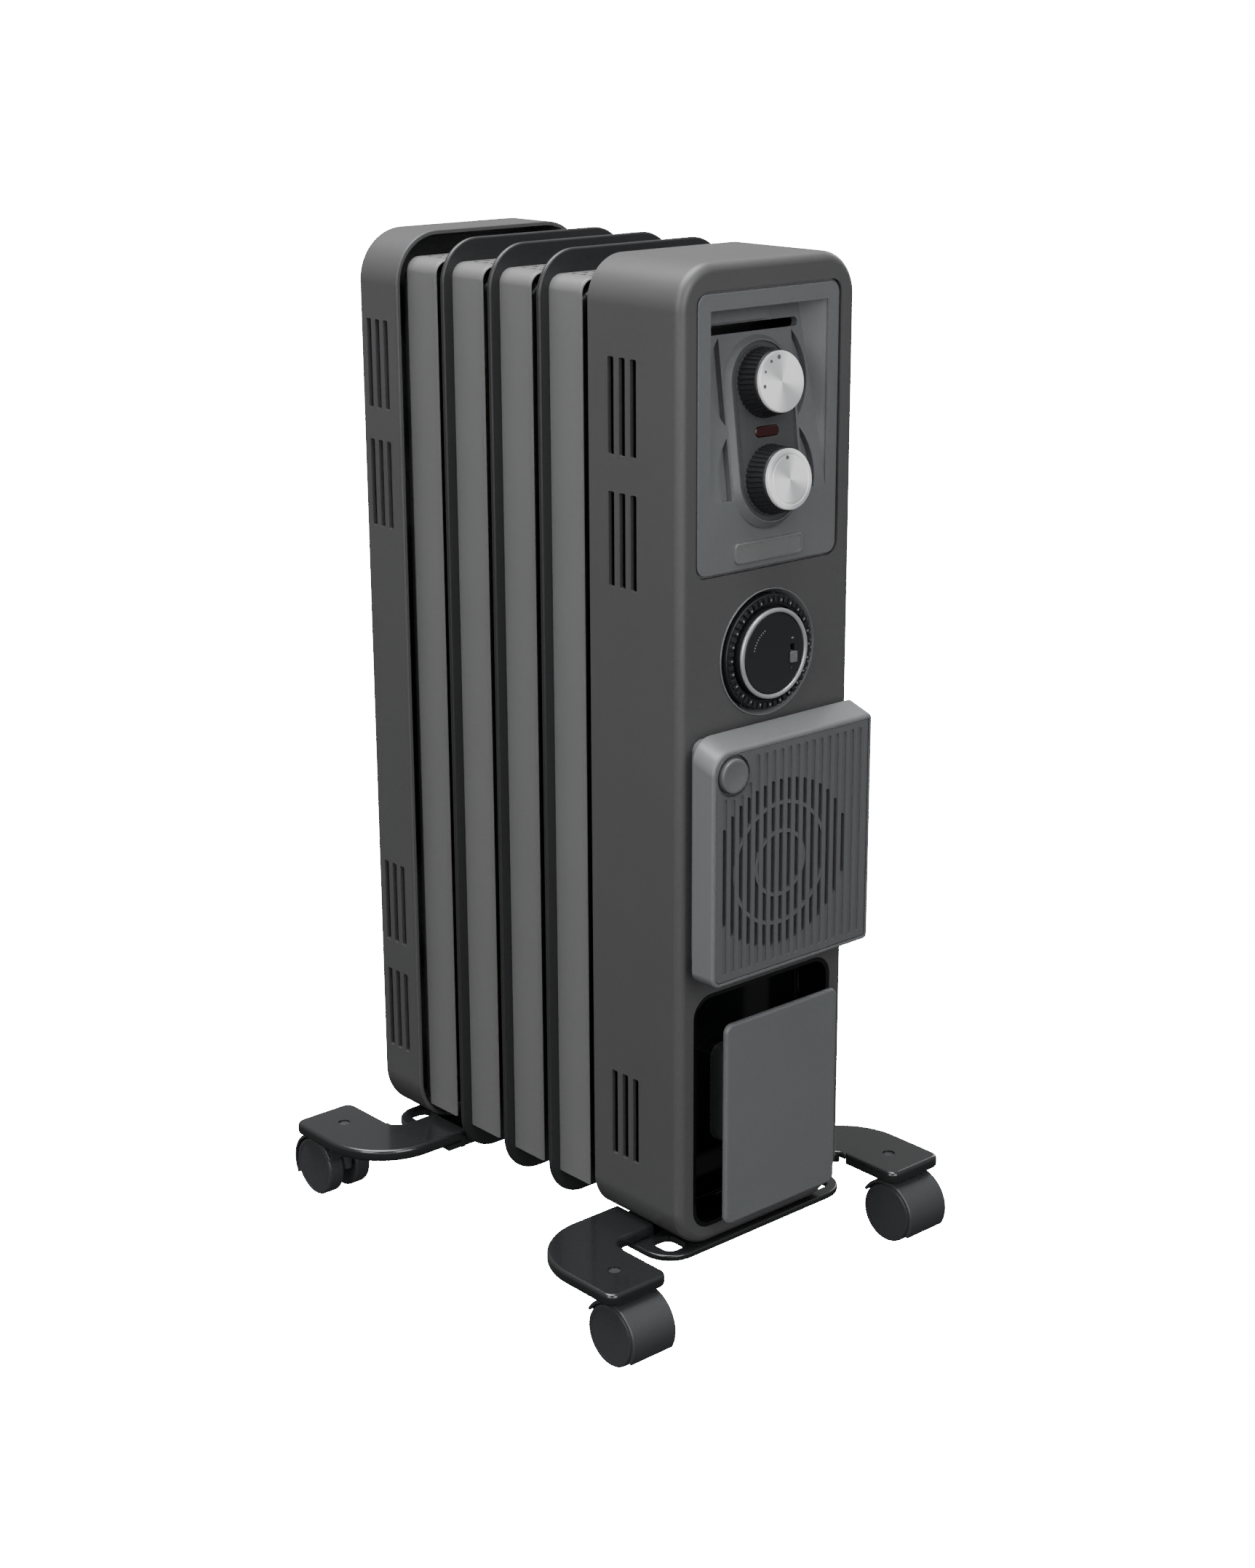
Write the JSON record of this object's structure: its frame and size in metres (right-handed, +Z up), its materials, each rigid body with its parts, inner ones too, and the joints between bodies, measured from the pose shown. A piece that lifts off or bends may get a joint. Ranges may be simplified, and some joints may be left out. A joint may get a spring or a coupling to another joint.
{
  "type": "oil filled radiator heater",
  "caption": "Upright oil filled radiator heater on casters, with column plates between a control housing and a rear cover, rotary knobs, a timer dial, a fan heater and a cord store.",
  "frame": {"origin": "centre of the overall box at floor level, under the casters", "axes": "+Z up, the controls face -Y, +X to the right of someone facing the controls"},
  "size_m": [0.286, 0.35, 0.641],
  "materials": {
    "graphite_shell": "fine satin texture",
    "panel_grey": "satin",
    "column_paint": "satin enamel",
    "cover_paint": "satin enamel",
    "black_plastic": "satin",
    "gloss_black": "glossy",
    "foot_plastic": "glossy moulded",
    "caster_plastic": "moulded",
    "spun_metal": "spun and brushed",
    "silver_ring": "satin",
    "zinc_steel": "zinc plated",
    "red_lens": "clear tinted",
    "neon_glass": "clear",
    "pale_plastic": "moulded",
    "oil": null,
    "cord_rubber": "matt",
    "shield_metal": "mill finish"
  },
  "bodies": {
    "heater": {"front_housing": "graphite_shell", "rear_cover": "graphite_shell", "fin_1": "column_paint", "fin_2": "column_paint", "fin_3": "column_paint", "fin_4": "column_paint", "fin_5": "column_paint", "header_collars": "column_paint", "filler_plug": "zinc_steel", "oil_charge": "oil", "heating_element": "zinc_steel", "housing_screws": "zinc_steel", "thermal_cutout": "zinc_steel", "column_cover_2": "cover_paint", "column_cover_3": "cover_paint", "column_cover_4": "cover_paint", "column_cover_5": "cover_paint", "heat_shield": "shield_metal", "control_panel": "panel_grey", "badge": "silver_ring", "lamp_lens": "red_lens", "indicator_lamp": "neon_glass", "rotary_switch": "pale_plastic", "thermostat": "zinc_steel", "terminal_block": "pale_plastic", "wiring_loom": "cord_rubber", "timer_bezel": "silver_ring", "timer_movement": "pale_plastic", "timer_centre": "black_plastic", "fan_shell": "panel_grey", "fan_grille": "panel_grey", "fan_switch": "pale_plastic", "ptc_heater": "zinc_steel", "fan_shroud": "black_plastic", "fan_motor": "zinc_steel", "cord_recess": "gloss_black", "cord_flap": "panel_grey", "cord_inlet": "cord_rubber", "front_foot": "foot_plastic", "rear_foot": "foot_plastic", "foot_clamps": "zinc_steel"},
    "mode_control": {"mode_knob": "black_plastic", "mode_cap": "spun_metal", "mode_shaft": "zinc_steel"},
    "thermostat_control": {"thermostat_knob": "black_plastic", "thermostat_cap": "spun_metal", "thermostat_shaft": "zinc_steel"},
    "timer_wheel": {"timer_dial": "black_plastic", "timer_ring": "silver_ring"},
    "timer_slider": {"timer_override": "silver_ring"},
    "fan_push": {"fan_button": "panel_grey"},
    "rotor": {"fan_rotor": "pale_plastic"},
    "caster_front_left_body": {"caster_front_left": "caster_plastic"},
    "wheels_front_left_body": {"wheels_front_left": "caster_plastic"},
    "caster_front_right_body": {"caster_front_right": "caster_plastic"},
    "wheels_front_right_body": {"wheels_front_right": "caster_plastic"},
    "caster_rear_left_body": {"caster_rear_left": "caster_plastic"},
    "wheels_rear_left_body": {"wheels_rear_left": "caster_plastic"},
    "caster_rear_right_body": {"caster_rear_right": "caster_plastic"},
    "wheels_rear_right_body": {"wheels_rear_right": "caster_plastic"}
  },
  "joints": [
    {"name": "mode_turn", "type": "hinge", "parent": "heater", "child": "mode_control", "pos_m": [0, -0.14195, 0.56975], "axis": [0, 0.9907, -0.1357], "range_deg": [0, 90]},
    {"name": "thermostat_turn", "type": "hinge", "parent": "heater", "child": "thermostat_control", "pos_m": [0, -0.14944, 0.51506], "axis": [0, 0.9907, -0.1357], "range_deg": [0, 270]},
    {"name": "timer_turn", "type": "hinge", "parent": "heater", "child": "timer_wheel", "pos_m": [0, -0.141, 0.412], "axis": [0, 1, 0], "continuous": true},
    {"name": "override_slide", "type": "slide", "parent": "heater", "child": "timer_slider", "axis": [0, 0, 1], "range_m": [0, 0.004]},
    {"name": "fan_button_push", "type": "slide", "parent": "heater", "child": "fan_push", "axis": [0, 1, 0], "range_m": [0, 0.003], "stiffness_N_per_m": 400, "springref_m": -0.001},
    {"name": "rotor_spin", "type": "hinge", "parent": "heater", "child": "rotor", "pos_m": [-0.01, -0.141, 0.29], "axis": [0, 1, 0], "continuous": true},
    {"name": "caster_front_left_swivel", "type": "hinge", "parent": "heater", "child": "caster_front_left_body", "pos_m": [-0.119, -0.1386, 0.045], "axis": [0, 0, 1], "continuous": true},
    {"name": "wheels_front_left_roll", "type": "hinge", "parent": "caster_front_left_body", "child": "wheels_front_left_body", "pos_m": [-0.119, -0.1526, 0.0196], "axis": [1, 0, 0], "continuous": true},
    {"name": "caster_front_right_swivel", "type": "hinge", "parent": "heater", "child": "caster_front_right_body", "pos_m": [0.119, -0.1386, 0.045], "axis": [0, 0, 1], "continuous": true},
    {"name": "wheels_front_right_roll", "type": "hinge", "parent": "caster_front_right_body", "child": "wheels_front_right_body", "pos_m": [0.119, -0.1526, 0.0196], "axis": [1, 0, 0], "continuous": true},
    {"name": "caster_rear_left_swivel", "type": "hinge", "parent": "heater", "child": "caster_rear_left_body", "pos_m": [-0.119, 0.1386, 0.045], "axis": [0, 0, 1], "continuous": true},
    {"name": "wheels_rear_left_roll", "type": "hinge", "parent": "caster_rear_left_body", "child": "wheels_rear_left_body", "pos_m": [-0.119, 0.1526, 0.0196], "axis": [1, 0, 0], "continuous": true},
    {"name": "caster_rear_right_swivel", "type": "hinge", "parent": "heater", "child": "caster_rear_right_body", "pos_m": [0.119, 0.1386, 0.045], "axis": [0, 0, 1], "continuous": true},
    {"name": "wheels_rear_right_roll", "type": "hinge", "parent": "caster_rear_right_body", "child": "wheels_rear_right_body", "pos_m": [0.119, 0.1526, 0.0196], "axis": [1, 0, 0], "continuous": true}
  ]
}
